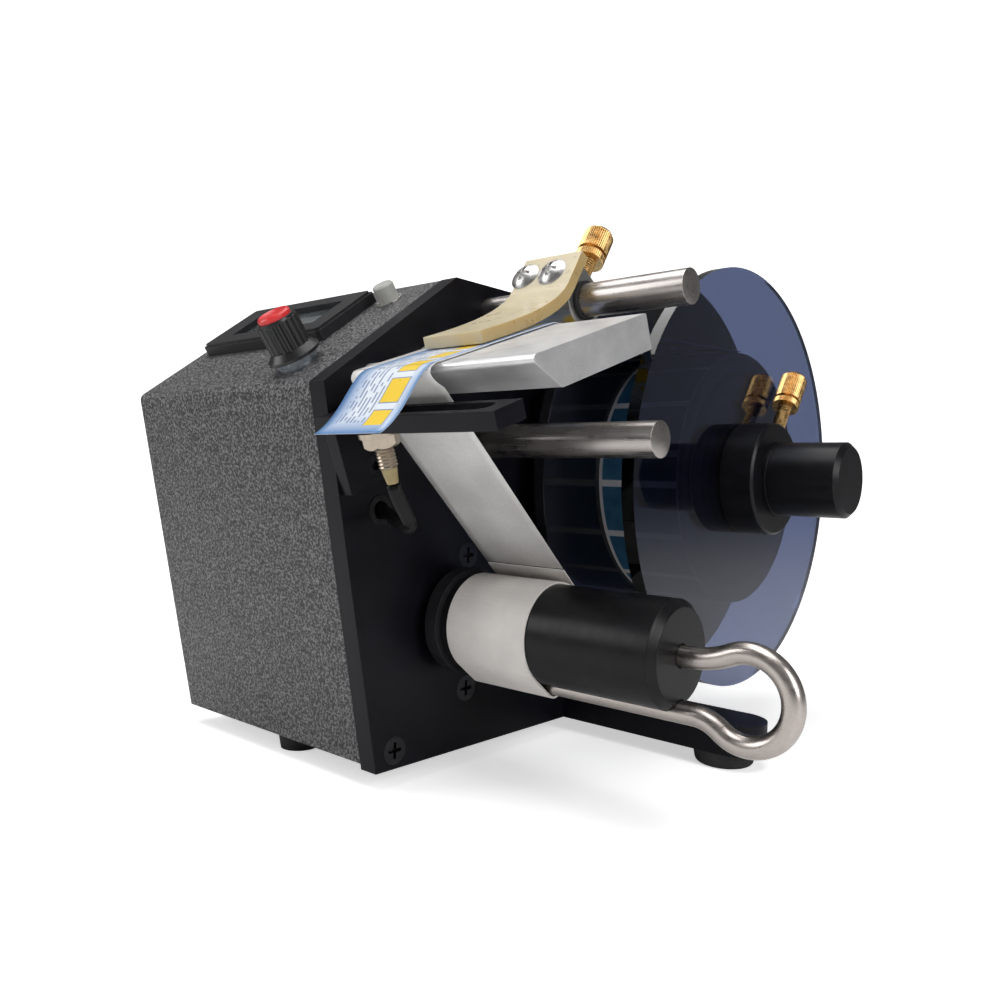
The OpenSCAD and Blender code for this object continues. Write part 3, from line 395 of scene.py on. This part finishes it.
def glossy_black(name, axis):
    surface = Surface(name, (0.006, 0.006, 0.008), 0.08).level(0.5)
    rings = surface.noise(0.8, 3, 0.6, surface.join(surface.radius(*axis), 0.0, 0.0))
    smear = surface.noise(16, 4)
    surface.color(surface.ramp(smear, (0.3, (0.005, 0.005, 0.007)), (0.75, (0.014, 0.014, 0.017))))
    surface.roughness(rings * 0.4 + smear * 0.6, 0.05, 0.17)
    return surface.bump(rings, 0.004, 0.4)


LABEL_LENGTH, LABEL_PITCH = 76.0, 79.0
LABEL_START, LABEL_WIDTH = 4.2, 23.3
BLUE, WHITE = (0.035, 0.19, 0.48), (0.78, 0.83, 0.90)
YELLOW, NAVY = (0.90, 0.62, 0.06), (0.10, 0.16, 0.34)
LINER = (0.74, 0.72, 0.70)


def printed(surface, run, across):
    """Label artwork: blue border fading to white, rows of plain dashes and a row of yellow bars.

    run is the distance along the web and across the distance from its inner edge, both in mm.
    """
    place = run.math("FLOORED_MODULO", LABEL_PITCH)
    side = across - LABEL_START
    from_ends = (place - LABEL_LENGTH / 2).math("ABSOLUTE") * -1 + LABEL_LENGTH / 2
    from_sides = (side - LABEL_WIDTH / 2).math("ABSOLUTE") * -1 + LABEL_WIDTH / 2
    inside = from_ends.above(0, 0.2) * from_sides.above(0, 0.2)
    from_edge = from_ends.math("MINIMUM", side.math("MINIMUM", from_sides * 2.2))
    border = 7.5
    fade = (from_edge / border).math("ADD", 0, clamp=True).math("POWER", 0.8)
    art = surface.mix(fade, BLUE, WHITE)
    row_pitch = 1.35
    row = side.math("FLOORED_MODULO", row_pitch)
    row_number = (side / row_pitch).math("FLOOR")
    words = surface.noise(2.1, 1, 0.4, surface.join(place * MM, row_number, 0.0))
    dashes = row.within(0.4, 0.95, 0.2) * words.above(0.47, 0.03) * side.within(3.4, 13.4, 0.2)
    dashes = dashes * place.within(4.5, LABEL_LENGTH - 4.5, 0.2)
    art = surface.mix(dashes * 0.75, art, NAVY)
    bar_pitch = 9.6
    bar = place.math("FLOORED_MODULO", bar_pitch)
    used = place.within(3.4, LABEL_LENGTH - 3.4, 0.2)
    outline = bar.within(0.9, 8.6, 0.2) * side.within(13.9, 20.6, 0.2) * used
    bars = bar.within(1.15, 8.35, 0.2) * side.within(14.15, 20.35, 0.2) * used
    art = surface.mix(outline, art, BLUE)
    art = surface.mix(bars, art, YELLOW)
    return surface.mix(inside, LINER, art)


def paper(name, run_from, labels):
    """Coated paper strip whose UVs are millimetres along and across the web."""
    surface = Surface(name, WHITE, 0.42).level(0.4)
    run, across, _ = surface.parts(surface.coordinates.outputs["UV"])
    fibre = surface.noise(0.6, 4)
    cloud = surface.noise(14, 3)
    if labels:
        surface.color(printed(surface, run + run_from, across))
        surface.roughness(cloud, 0.22, 0.36)
        return surface.bump(fibre, 0.012)
    surface.color(surface.ramp(cloud * 0.6 + fibre * 0.4, (0.35, shade(LINER, 0.95)),
                               (0.65, (0.83, 0.83, 0.82))))
    surface.roughness(cloud, 0.40, 0.55)
    return surface.bump(fibre, 0.015)


def wound_roll(name):
    """Label roll: plain panels around the rim in a darkened blue that paints the shade of the
    flange and inner disc on them, fine windings on the two ends.
    """
    surface = Surface(name, WHITE, 0.5).level(0.35)
    x, dy, dz = surface.parts(surface.position(at(WEB_START, *REEL)))
    angle = dz.math("ARCTAN2", dy)
    panel_pitch, panel_length = 18.0, 15.8
    run = (angle * ROLL_RADIUS + LABEL_PITCH * 4).math("FLOORED_MODULO", panel_pitch)
    tone = surface.noise(6, 3)
    # The panels' blue is the label print darkened well below BLUE: painted shade from the flange
    # and inner disc over the rim.
    painted_shade_panel = surface.ramp(tone, (0.3, (0.025, 0.11, 0.20)), (0.7, (0.05, 0.17, 0.28)))
    on_panel = run.within(0.0, panel_length, 0.4) * (x / MM).within(1.3, WEB_WIDTH - 0.5, 0.3)
    rim = surface.mix(on_panel, LINER, painted_shade_panel)
    radius = (dy * dy + dz * dz).math("SQRT")
    windings = surface.noise(0.45, 3, 0.7, surface.join(radius, 0.0, 0.0))
    bands = surface.noise(3.5, 3, 0.6, surface.join(radius, 0.0, 0.0))
    ends = surface.ramp(windings * 0.5 + bands * 0.5, (0.38, (0.28, 0.18, 0.13)),
                        (0.5, (0.50, 0.36, 0.28)), (0.62, (0.64, 0.50, 0.41)))
    facing = surface.parts(surface.coordinates.outputs["Normal"])[0].math("ABSOLUTE")
    surface.color(surface.mix(facing.above(0.5, 0.2), rim, ends))
    surface.roughness(windings, 0.36, 0.6)
    return surface.bump(windings * facing, 0.06)


def wound_liner(name):
    surface = Surface(name, (0.78, 0.77, 0.75), 0.5).level(0.35)
    x, _, _ = surface.parts(surface.position())
    radius = surface.radius(*ROLLER)
    windings = surface.noise(0.3, 3, 0.7, surface.join(radius, x * 0.02, 0.0))
    cloud = surface.noise(10, 4)
    surface.color(surface.ramp(cloud * 0.7 + windings * 0.3, (0.35, (0.70, 0.66, 0.63)),
                               (0.65, (0.80, 0.765, 0.73))))
    surface.roughness(cloud, 0.42, 0.58)
    return surface.bump(windings + cloud, 0.05, 0.2)


def display(name):
    """Reflective display: faint rows of blank digit cells on a grey-green ground."""
    surface = Surface(name, (0.36, 0.38, 0.35), 0.25)
    x, _, _ = surface.parts(surface.position(at(-80, 0, 0)))
    cell_pitch = 8.8
    cell = (x / MM).math("FLOORED_MODULO", cell_pitch)
    grain = surface.noise(1.2, 3)
    ground = surface.ramp(grain, (0.3, (0.30, 0.32, 0.29)), (0.7, (0.40, 0.42, 0.39)))
    surface.color(surface.mix(cell.within(1.8, 6.8, 0.3) * 0.25, ground, (0.12, 0.13, 0.12)))
    surface.roughness(grain, 0.2, 0.34)
    return surface.bump(grain, 0.01)


def window(name):
    surface = Surface(name, (0.35, 0.38, 0.40), 0.03, transmission_weight=0.9, ior=1.49)
    smear = surface.noise(6, 5)
    surface.color(surface.ramp(smear, (0.3, (0.30, 0.33, 0.35)), (0.7, (0.40, 0.43, 0.45))))
    surface.roughness(smear, 0.02, 0.10)
    return surface


def circuit_board(name):
    surface = Surface(name, (0.02, 0.14, 0.06), 0.35)
    low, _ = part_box("control_board")
    _, _, z = surface.parts(surface.position(low))
    parts_from = 10.5 * MM
    traces = surface.noise(2.4, 2, 0.4)
    board = surface.ramp(traces, (0.46, (0.015, 0.11, 0.045)), (0.50, (0.03, 0.19, 0.08)))
    parts = surface.ramp(surface.noise(3, 2), (0.4, (0.02, 0.02, 0.022)),
                         (0.6, (0.06, 0.06, 0.065)))
    surface.color(surface.mix(z.above(parts_from, 0.2 * MM), board, parts))
    surface.roughness(traces, 0.25, 0.45)
    return surface.bump(traces, 0.03, 0.2)


def felt(name, color):
    surface = Surface(name, color, 0.9, sheen_weight=0.4)
    fluff = surface.noise(0.5, 6, 0.75)
    surface.color(surface.ramp(fluff, (0.3, shade(color, 0.6)), (0.7, shade(color, 1.3))))
    surface.roughness(fluff, 0.85, 0.97)
    return surface.bump(fluff, 0.2)


def card(name, color):
    surface = Surface(name, color, 0.75)
    layers = surface.noise(0.5, 3, 0.6, stretch=(0.1, 1, 1))
    surface.color(surface.ramp(layers, (0.3, shade(color, 0.7)), (0.7, shade(color, 1.2))))
    surface.roughness(layers, 0.68, 0.84)
    return surface.bump(layers, 0.05)


STEEL = (0.60, 0.585, 0.565)
NICKEL = (0.72, 0.70, 0.66)
ALUMINIUM = (0.72, 0.73, 0.74)
ALONG_X = (0.02, 1, 1)
CLAMP_LEAN = math.radians(31)
COLLAR_LEAN = math.radians(35)
UPPER_ROD = (42.9, 135.4)

LOOKS = {
    "side_plate": anodised,
    "base_bar": anodised,
    "sensor_bracket": lambda n: anodised(n, edge=0.3),
    "housing_shell": hammertone,
    "base_pan": lambda n: brushed(n, (0.42, 0.42, 0.43), (1, 0.03, 1), 0.42, 1.0),
    "housing_feet": rubber,
    "bar_foot": rubber,
    "rod_ring": rubber,
    "cable_grommet": lambda n: rubber(n, (0.004, 0.004, 0.0045)),
    "foot_screws": lambda n: plated(n, (0.55, 0.55, 0.56), 0.3),
    "inside_screws": lambda n: plated(n, (0.10, 0.10, 0.11), 0.35),
    "bracket_screw": lambda n: plated(n, (0.03, 0.03, 0.035), 0.4),
    "housing_screws": lambda n: plated(n, (0.06, 0.06, 0.065), 0.34),
    "motor_screws": lambda n: plated(n, (0.06, 0.06, 0.065), 0.34),
    "upper_rod": lambda n: brushed(n, (0.50, 0.465, 0.445), ALONG_X, 0.29),
    "lower_rod": lambda n: brushed(n, (0.50, 0.465, 0.445), ALONG_X, 0.29),
    "wire_clip": lambda n: brushed(n, (0.54, 0.49, 0.46), (0.08, 1, 0.3), 0.29, 0.5),
    "roller_shaft": lambda n: brushed(n, STEEL, (1, 0.05, 0.05), 0.2),
    "pot_shaft": lambda n: brushed(n, STEEL, (1, 1, 0.1), 0.25),
    "peel_block": lambda n: brushed(n, (0.80, 0.80, 0.81), ALONG_X, 0.36, 0.4, 0.3, 0.72),
    "clamp_block": lambda n: brushed(n, (0.66, 0.655, 0.64), (1, 0.05, 1), 0.33, 0.4, 0.3),
    "clamp_thumbscrew": lambda n: knurled_brass(n, (31.2, *UPPER_ROD), CLAMP_LEAN, 15.6),
    "collar_thumbscrew": lambda n: knurled_brass(n, (50.4, *REEL), COLLAR_LEAN, 32.4),
    "hold_down_blade": polyurethane,
    "blade_screws": lambda n: plated(n, (0.66, 0.65, 0.64), 0.30),
    "pot_nut": lambda n: plated(n, (0.34, 0.38, 0.42), 0.30),
    "sensor_barrel": lambda n: plated(n, (0.46, 0.39, 0.31), 0.30),
    "sensor_nuts": lambda n: plated(n, (0.50, 0.43, 0.35), 0.30),
    "sensor_potting": lambda n: plastic(n, (0.36, 0.28, 0.13), 0.3, 0.06),
    "counter_bezel": lambda n: plastic(n, (0.014, 0.014, 0.016), 0.38, 0.03, 0.35),
    "counter_lens": window,
    "counter_display": display,
    "counter_body": lambda n: plastic(n, (0.02, 0.02, 0.022), 0.5),
    "pot_body": lambda n: plated(n, (0.5, 0.49, 0.46), 0.35),
    "knob": lambda n: plastic(n, (0.011, 0.011, 0.012), 0.30, 0.015, 0.45),
    "knob_cap": lambda n: plastic(n, (0.66, 0.028, 0.03), 0.28, 0.02),
    "button_body": lambda n: plated(n, NICKEL, 0.3),
    "button_cap": lambda n: plastic(n, (0.42, 0.42, 0.395), 0.36, 0.02),
    "bearing_hub": lambda n: brushed(n, ALUMINIUM, (1, 0.1, 0.1), 0.3),
    "reel_bearings": lambda n: brushed(n, STEEL, (1, 0.1, 0.1), 0.2),
    "reel_shaft": lambda n: turned_black(n, REEL),
    "hub_collar": lambda n: turned_black(n, REEL),
    "take_up_roller": lambda n: turned_black(n, ROLLER, (0.006, 0.006, 0.007)),
    "roller_flange": lambda n: plastic(n, (0.012, 0.012, 0.014), 0.4),
    "brake_pad": lambda n: felt(n, (0.32, 0.28, 0.2)),
    "brake_plate": lambda n: brushed(n, STEEL, (1, 0.1, 0.1), 0.3),
    "brake_spring": lambda n: plated(n, (0.5, 0.5, 0.52), 0.28),
    "inner_disc": lambda n: glossy_black(n, REEL),
    "roll_core": lambda n: card(n, (0.42, 0.31, 0.19)),
    "label_roll": wound_roll,
    "outer_flange": smoked_acrylic,
    "gearmotor": lambda n: brushed(n, (0.42, 0.42, 0.43), (1, 1, 0.3), 0.42, 0.8),
    "roller_bushing": lambda n: plated(n, (0.62, 0.45, 0.25), 0.36),
    "wound_liner": wound_liner,
    "control_board": circuit_board,
    "power_inlet": lambda n: plastic(n, (0.016, 0.016, 0.018), 0.45),
    "switch_body": lambda n: plastic(n, (0.016, 0.016, 0.018), 0.45),
    "switch_rocker": lambda n: plastic(n, (0.014, 0.014, 0.015), 0.22, 0.01),
}


def dress_nodes():
    for name, look in LOOKS.items():
        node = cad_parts[name]
        material = look(name).material
        node.data.materials.clear()
        node.data.materials.append(material)


# ---- paper path -------------------------------------------------------------------------------


def curve(a, b, c, d, steps):
    """Points of a cubic curve between (y, z) points a and d, with handles b and c."""
    points = []
    for i in range(steps + 1):
        t = i / steps
        s = 1 - t
        weights = (s ** 3, 3 * t * s * s, 3 * t * t * s, t ** 3)
        points.append(tuple(sum(w * p[k] for w, p in zip(weights, (a, b, c, d))) for k in (0, 1)))
    return points


def tangent(point, middle, radius):
    """Where a line from point meets the upper side of a circle."""
    dy, dz = middle[0] - point[0], middle[1] - point[1]
    away = math.hypot(dy, dz)
    angle = math.atan2(dz, dy) + math.asin(radius / away)
    reach = math.sqrt(away * away - radius * radius)
    return (point[0] + reach * math.cos(angle), point[1] + reach * math.sin(angle))


def strip(name, path, x_start, width, thickness, rows=10):
    """Thin sheet along a (y, z) path; its UVs are millimetres along the path and across it."""
    lengths = [0.0]
    for a, b in zip(path, path[1:]):
        lengths.append(lengths[-1] + math.dist(a, b))
    normals = []
    for i in range(len(path)):
        a, b = path[max(i - 1, 0)], path[min(i + 1, len(path) - 1)]
        size = math.dist(a, b)
        normals.append((-(b[1] - a[1]) / size, (b[0] - a[0]) / size))
    vertices, uvs = [], []
    for side in (0.5, -0.5):
        for (y, z), (ny, nz), run in zip(path, normals, lengths):
            for k in range(rows + 1):
                across = width * k / rows
                shift = side * thickness
                vertices.append(at(x_start + across, y + ny * shift, z + nz * shift))
                uvs.append((run, x_start - WEB_START + across))
    columns, count = rows + 1, len(path)
    faces = []
    for i in range(count - 1):
        for k in range(rows):
            a = i * columns + k
            faces.append((a, a + columns, a + columns + 1, a + 1))
            b = a + count * columns
            faces.append((b, b + 1, b + columns + 1, b + columns))
    rim = [i * columns for i in range(count)]
    rim += [(count - 1) * columns + k for k in range(1, columns)]
    rim += [i * columns + rows for i in range(count - 2, -1, -1)]
    rim += list(range(rows - 1, 0, -1))
    for a, b in zip(rim, rim[1:] + rim[:1]):
        faces.append((a, a + count * columns, b + count * columns, b))
    mesh = bpy.data.meshes.new(name)
    mesh.from_pydata(vertices, [], faces)
    layer = mesh.uv_layers.new(name="UVMap")
    for loop in mesh.loops:
        layer.data[loop.index].uv = uvs[loop.vertex_index]
    mesh.shade_smooth()
    piece = bpy.data.objects.new(name, mesh)
    bpy.context.collection.objects.link(piece)
    return piece, lengths[-1]


HANGING_END = (-36.2, 92.85)
LABEL_X = 16.3
LABEL_LIFT = 0.12
# Distance from the roller axis at which the strip ends, clear of the paper that turns
STRIP_STOP = 18.05


def make_paper():
    nose = on_block(0.9, PAPER_GAP)
    block_rear = on_block(BLOCK_LENGTH - 0.5, PAPER_GAP)
    nose_front = on_block(-0.5, -0.6)
    roll_meets = tangent(block_rear, REEL, ROLL_RADIUS + 0.5)
    roller_meets = tangent(nose_front, ROLLER, LINER_RADIUS)
    reach = math.dist(nose_front, roller_meets)
    stop = 1 - math.sqrt(STRIP_STOP ** 2 - LINER_RADIUS ** 2) / reach
    liner_end = tuple(a + (b - a) * stop for a, b in zip(nose_front, roller_meets))
    hanging = curve(HANGING_END, on_block(-10.5, -8.5), on_block(-4.5, PAPER_GAP + LABEL_LIFT),
                    on_block(0.9, PAPER_GAP + LABEL_LIFT), 20)
    hung, hanging_length = strip("hanging_label", hanging, LABEL_X, LABEL_WIDTH, 0.12)
    around = [on_block(20, PAPER_GAP), on_block(8, PAPER_GAP)]
    below = tuple(a + (b - a) * 0.07 for a, b in zip(nose_front, roller_meets))
    around += curve(on_block(3, PAPER_GAP), on_block(-2.2, PAPER_GAP + 0.3), on_block(-3, -2),
                    below, 14)
    around += [liner_end]
    liner, _ = strip("liner_strip", around, WEB_START, WEB_WIDTH, 0.12)
    top = curve(nose, on_block(15, PAPER_GAP), on_block(32, PAPER_GAP), block_rear, 12)
    top += curve(block_rear, block_rear, roll_meets, roll_meets, 12)[1:]
    top = [(y, z + LABEL_LIFT) for y, z in top]
    web, _ = strip("label_web", top, WEB_START, WEB_WIDTH, 0.14)
    looks = ((hung, paper("hanging_label", 0.0, True)), (liner, paper("liner_strip", 0.0, False)),
             (web, paper("label_web", hanging_length, True)))
    for piece, surface in looks:
        piece.data.materials.append(surface.material)
        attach(piece, "frame")
    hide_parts("paper_web")


# ---- sensor lead ------------------------------------------------------------------------------

LEAD_ROUTE = [(18, -12.4, 81.5), (18.2, -11.2, 78.4), (18.9, -9, 74.4), (19, -6.8, 71),
              (15.4, -4.6, 70), (9.8, -2.8, 71.2), (4.8, -1.4, 73), (1, -0.8, 74.1),
              (-6, -0.8, 74.2), (-13, 0, 74), (-22, 6, 70), (-34, 12, 62), (-44, 14, 48),
              (-50, 16, 30), (-52, 30, 18), (-52, 52, 16), (-52, 66, 16.4)]
CORE_RADIUS = 0.98
HALF_WIDTH = CORE_RADIUS * 1.85
WAIST_DEPTH = 0.34
LEAD_FACING = Vector((-0.65, 0.75, 0))


def smooth_route(points, steps):
    """Curve through the middles of the route's legs, as Vector points."""
    points = [Vector(p) for p in points]
    out = [points[0]]
    for a, b, c in zip(points, points[1:], points[2:]):
        start, end = (a + b) / 2, (b + c) / 2
        for k in range(steps):
            t = k / steps
            out.append(start * (1 - t) ** 2 + b * 2 * t * (1 - t) + end * t * t)
    out.append(points[-1])
    return out


def make_lead():
    """Two joined cores side by side, meshed as one tube with a figure-of-eight section."""
    route = smooth_route(LEAD_ROUTE, 5)
    sides = 20
    vertices, faces = [], []
    for i, middle in enumerate(route):
        way = (route[min(i + 1, len(route) - 1)] - route[max(i - 1, 0)]).normalized()
        flat = way.cross(LEAD_FACING).normalized()
        up = flat.cross(way)
        for k in range(sides):
            angle = 2 * math.pi * k / sides
            waist = 1 - WAIST_DEPTH * abs(math.sin(angle)) ** 6
            spread = flat * math.cos(angle) * HALF_WIDTH + up * math.sin(angle) * CORE_RADIUS
            vertices.append(at(*(middle + spread * waist)))
    for i in range(len(route) - 1):
        for k in range(sides):
            a, b = i * sides + k, i * sides + (k + 1) % sides
            faces.append((a, b, b + sides, a + sides))
    faces.append(tuple(range(sides - 1, -1, -1)))
    last = (len(route) - 1) * sides
    faces.append(tuple(last + k for k in range(sides)))
    mesh = bpy.data.meshes.new("sensor_lead")
    mesh.from_pydata(vertices, [], faces)
    mesh.shade_smooth()
    lead = bpy.data.objects.new("sensor_lead", mesh)
    bpy.context.collection.objects.link(lead)
    mesh.materials.append(plastic("sensor_lead", (0.005, 0.005, 0.0055), 0.36, 0.02, 0.25).material)
    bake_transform(lead)
    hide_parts("sensor_cable")


# ---- studio -----------------------------------------------------------------------------------

FLOOR_SIZE = 3.0
SWEEP_RADIUS = 0.8


def seen_directly(tree):
    """1 for rays from the camera or through clear acrylic, 0 for light and mirror images."""
    path = tree.nodes.new("ShaderNodeLightPath")
    camera = Value(tree, path.outputs["Is Camera Ray"])
    return camera.math("MAXIMUM", Value(tree, path.outputs["Is Transmission Ray"]))


def make_floor():
    """Pale floor that curves up into a wall on the side away from the camera."""
    depth = Vector((-math.sin(CAMERA_AZIMUTH), math.cos(CAMERA_AZIMUTH), 0))
    wide = Vector((math.cos(CAMERA_AZIMUTH), math.sin(CAMERA_AZIMUTH), 0))
    profile = [(-FLOOR_SIZE, 0.0), (FLOOR_SIZE - SWEEP_RADIUS, 0.0)]
    for k in range(1, 13):
        angle = math.pi / 2 * k / 12
        profile.append((FLOOR_SIZE - SWEEP_RADIUS * (1 - math.sin(angle)),
                        SWEEP_RADIUS * (1 - math.cos(angle))))
    profile.append((FLOOR_SIZE, FLOOR_SIZE))
    vertices = [depth * d + wide * w + Vector((0, 0, h))
                for d, h in profile for w in (-FLOOR_SIZE, FLOOR_SIZE)]
    faces = [(2 * i, 2 * i + 1, 2 * i + 3, 2 * i + 2) for i in range(len(profile) - 1)]
    mesh = bpy.data.meshes.new("floor")
    mesh.from_pydata(vertices, [], faces)
    mesh.shade_smooth()
    floor = bpy.data.objects.new("floor", mesh)
    bpy.context.collection.objects.link(floor)
    surface = Surface("floor", (0.93, 0.93, 0.93), 0.6).level(0.1)
    surface.shader.inputs["Emission Color"].default_value = (1, 1, 1, 1)
    seen = seen_directly(surface.tree)
    x, y, _ = surface.parts(surface.position())
    away = (x * x + y * y).math("SQRT")
    floor_glow, wall_extra = 0.55, 0.6
    glow = seen * (away.above(0.9, 1.0) * wall_extra + floor_glow)
    surface.tree.links.new(glow.socket, surface.shader.inputs["Emission Strength"])
    mesh.materials.append(surface.material)


def make_light(name, place, aim, size, power):
    data = bpy.data.lights.new(name, "AREA")
    data.shape = "RECTANGLE"
    data.size, data.size_y = size
    data.energy = power
    light = bpy.data.objects.new(name, data)
    bpy.context.collection.objects.link(light)
    start, end = Vector(place), Vector(aim)
    light.rotation_euler = (end - start).to_track_quat("-Z", "Y").to_euler()
    light.location = start
    light.visible_camera = False


def make_studio():
    make_floor()
    middle = (0, 0, 0.08)
    make_light("top_softbox", (-0.10, -0.15, 1.05), middle, (1.1, 0.8), 9.5)
    make_light("left_softbox", (-0.75, -0.85, 0.55), middle, (0.6, 0.6), 4)
    make_light("right_softbox", (1.0, -0.25, 0.55), middle, (0.35, 0.7), 5.5)
    world = bpy.data.worlds.new("world")
    bpy.context.scene.world = world
    world.use_nodes = True
    background = world.node_tree.nodes["Background"]
    background.inputs["Color"].default_value = (1, 1, 1, 1)
    ambient, backdrop_extra = 0.13, 0.87
    strength = seen_directly(world.node_tree) * backdrop_extra + ambient
    world.node_tree.links.new(strength.socket, background.inputs["Strength"])
    bpy.context.scene.view_settings.view_transform = "Standard"


make_camera()
dress_nodes()
make_paper()
make_lead()
make_studio()
